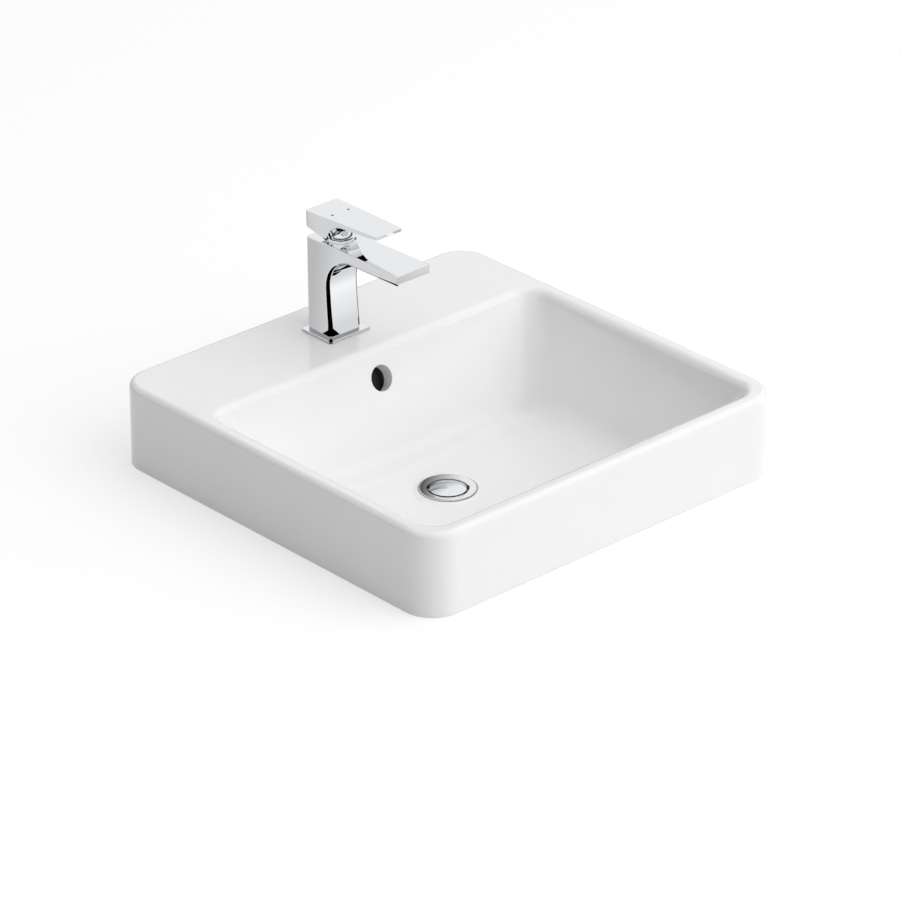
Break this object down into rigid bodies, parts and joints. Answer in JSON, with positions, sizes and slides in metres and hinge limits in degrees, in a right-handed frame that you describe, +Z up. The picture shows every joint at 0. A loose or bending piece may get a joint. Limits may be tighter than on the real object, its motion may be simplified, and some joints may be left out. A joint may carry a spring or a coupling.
{
  "type": "countertop basin",
  "caption": "Square ceramic countertop basin with a tap deck, a chromed single-lever mixer whose lever swivels and lifts, an overflow hole and a click waste with a rising plug.",
  "frame": {"origin": "on the waste's axis, which is the plan centre of the basin, in the plane of the counter's top where the skirt's foot stands", "axes": "+X to the user's right, +Y to the back where the tap stands, +Z up; the bowl and waste hang below the origin's plane"},
  "size_m": [0.49, 0.483, 0.3948],
  "materials": {
    "glazed_ceramic": "gloss",
    "chrome": "polished",
    "brass": "satin",
    "steel": "satin",
    "rubber": "matte",
    "white_plastic": "satin",
    "grey_plastic": "satin",
    "ceramic_disc": "satin",
    "red_enamel": "gloss",
    "blue_enamel": "gloss"
  },
  "bodies": {
    "fixed": {"basin": "glazed_ceramic", "waste_body": "chrome", "flange_gasket": "rubber", "outlet_seal": "rubber", "slip_washer": "white_plastic", "waste_back_nut": "brass", "tail_pipe": "chrome", "click_cartridge": "white_plastic", "plug_spring": "steel", "base_gasket": "rubber", "tap_base_plate": "chrome", "tap_body": "chrome", "aerator_housing": "chrome", "aerator_insert": "grey_plastic", "aerator_seal": "rubber", "cartridge_seal": "rubber", "cartridge_body": "grey_plastic", "fixed_disc": "ceramic_disc", "cartridge_nut": "brass", "bonnet": "chrome", "fixing_stud": "steel", "horseshoe_gasket": "rubber", "horseshoe_washer": "steel", "fixing_nut": "brass"},
    "swivel": {"lever_turret": "white_plastic", "stem_pin": "steel"},
    "lever": {"lever_stem": "steel", "lever_handle": "chrome", "lever_screw": "steel", "hot_dot": "red_enamel", "cold_dot": "blue_enamel"},
    "disc": {"moving_disc": "ceramic_disc", "disc_carrier": "white_plastic"},
    "plug": {"plug_cap": "chrome", "plug_seal": "rubber", "plug_stem": "steel"}
  },
  "joints": [
    {"name": "lever_swivel", "type": "hinge", "parent": "fixed", "child": "swivel", "pos_m": [0, 0.165, 0.203], "axis": [0, 0, 1], "range_deg": [-45, 45]},
    {"name": "lever_lift", "type": "hinge", "parent": "swivel", "child": "lever", "pos_m": [0, 0.165, 0.203], "axis": [-1, 0, 0], "range_deg": [0, 20]},
    {"name": "disc_slide", "type": "slide", "parent": "swivel", "child": "disc", "axis": [0, -1, 0], "range_m": [0, 0.0025]},
    {"name": "plug_lift", "type": "slide", "parent": "fixed", "child": "plug", "axis": [0, 0, 1], "range_m": [0, 0.009], "deforming": ["plug_spring"]}
  ],
  "couplings": [
    {"joint": "disc_slide", "follows": "lever_lift", "m_per_rad": 0.0069}
  ]
}
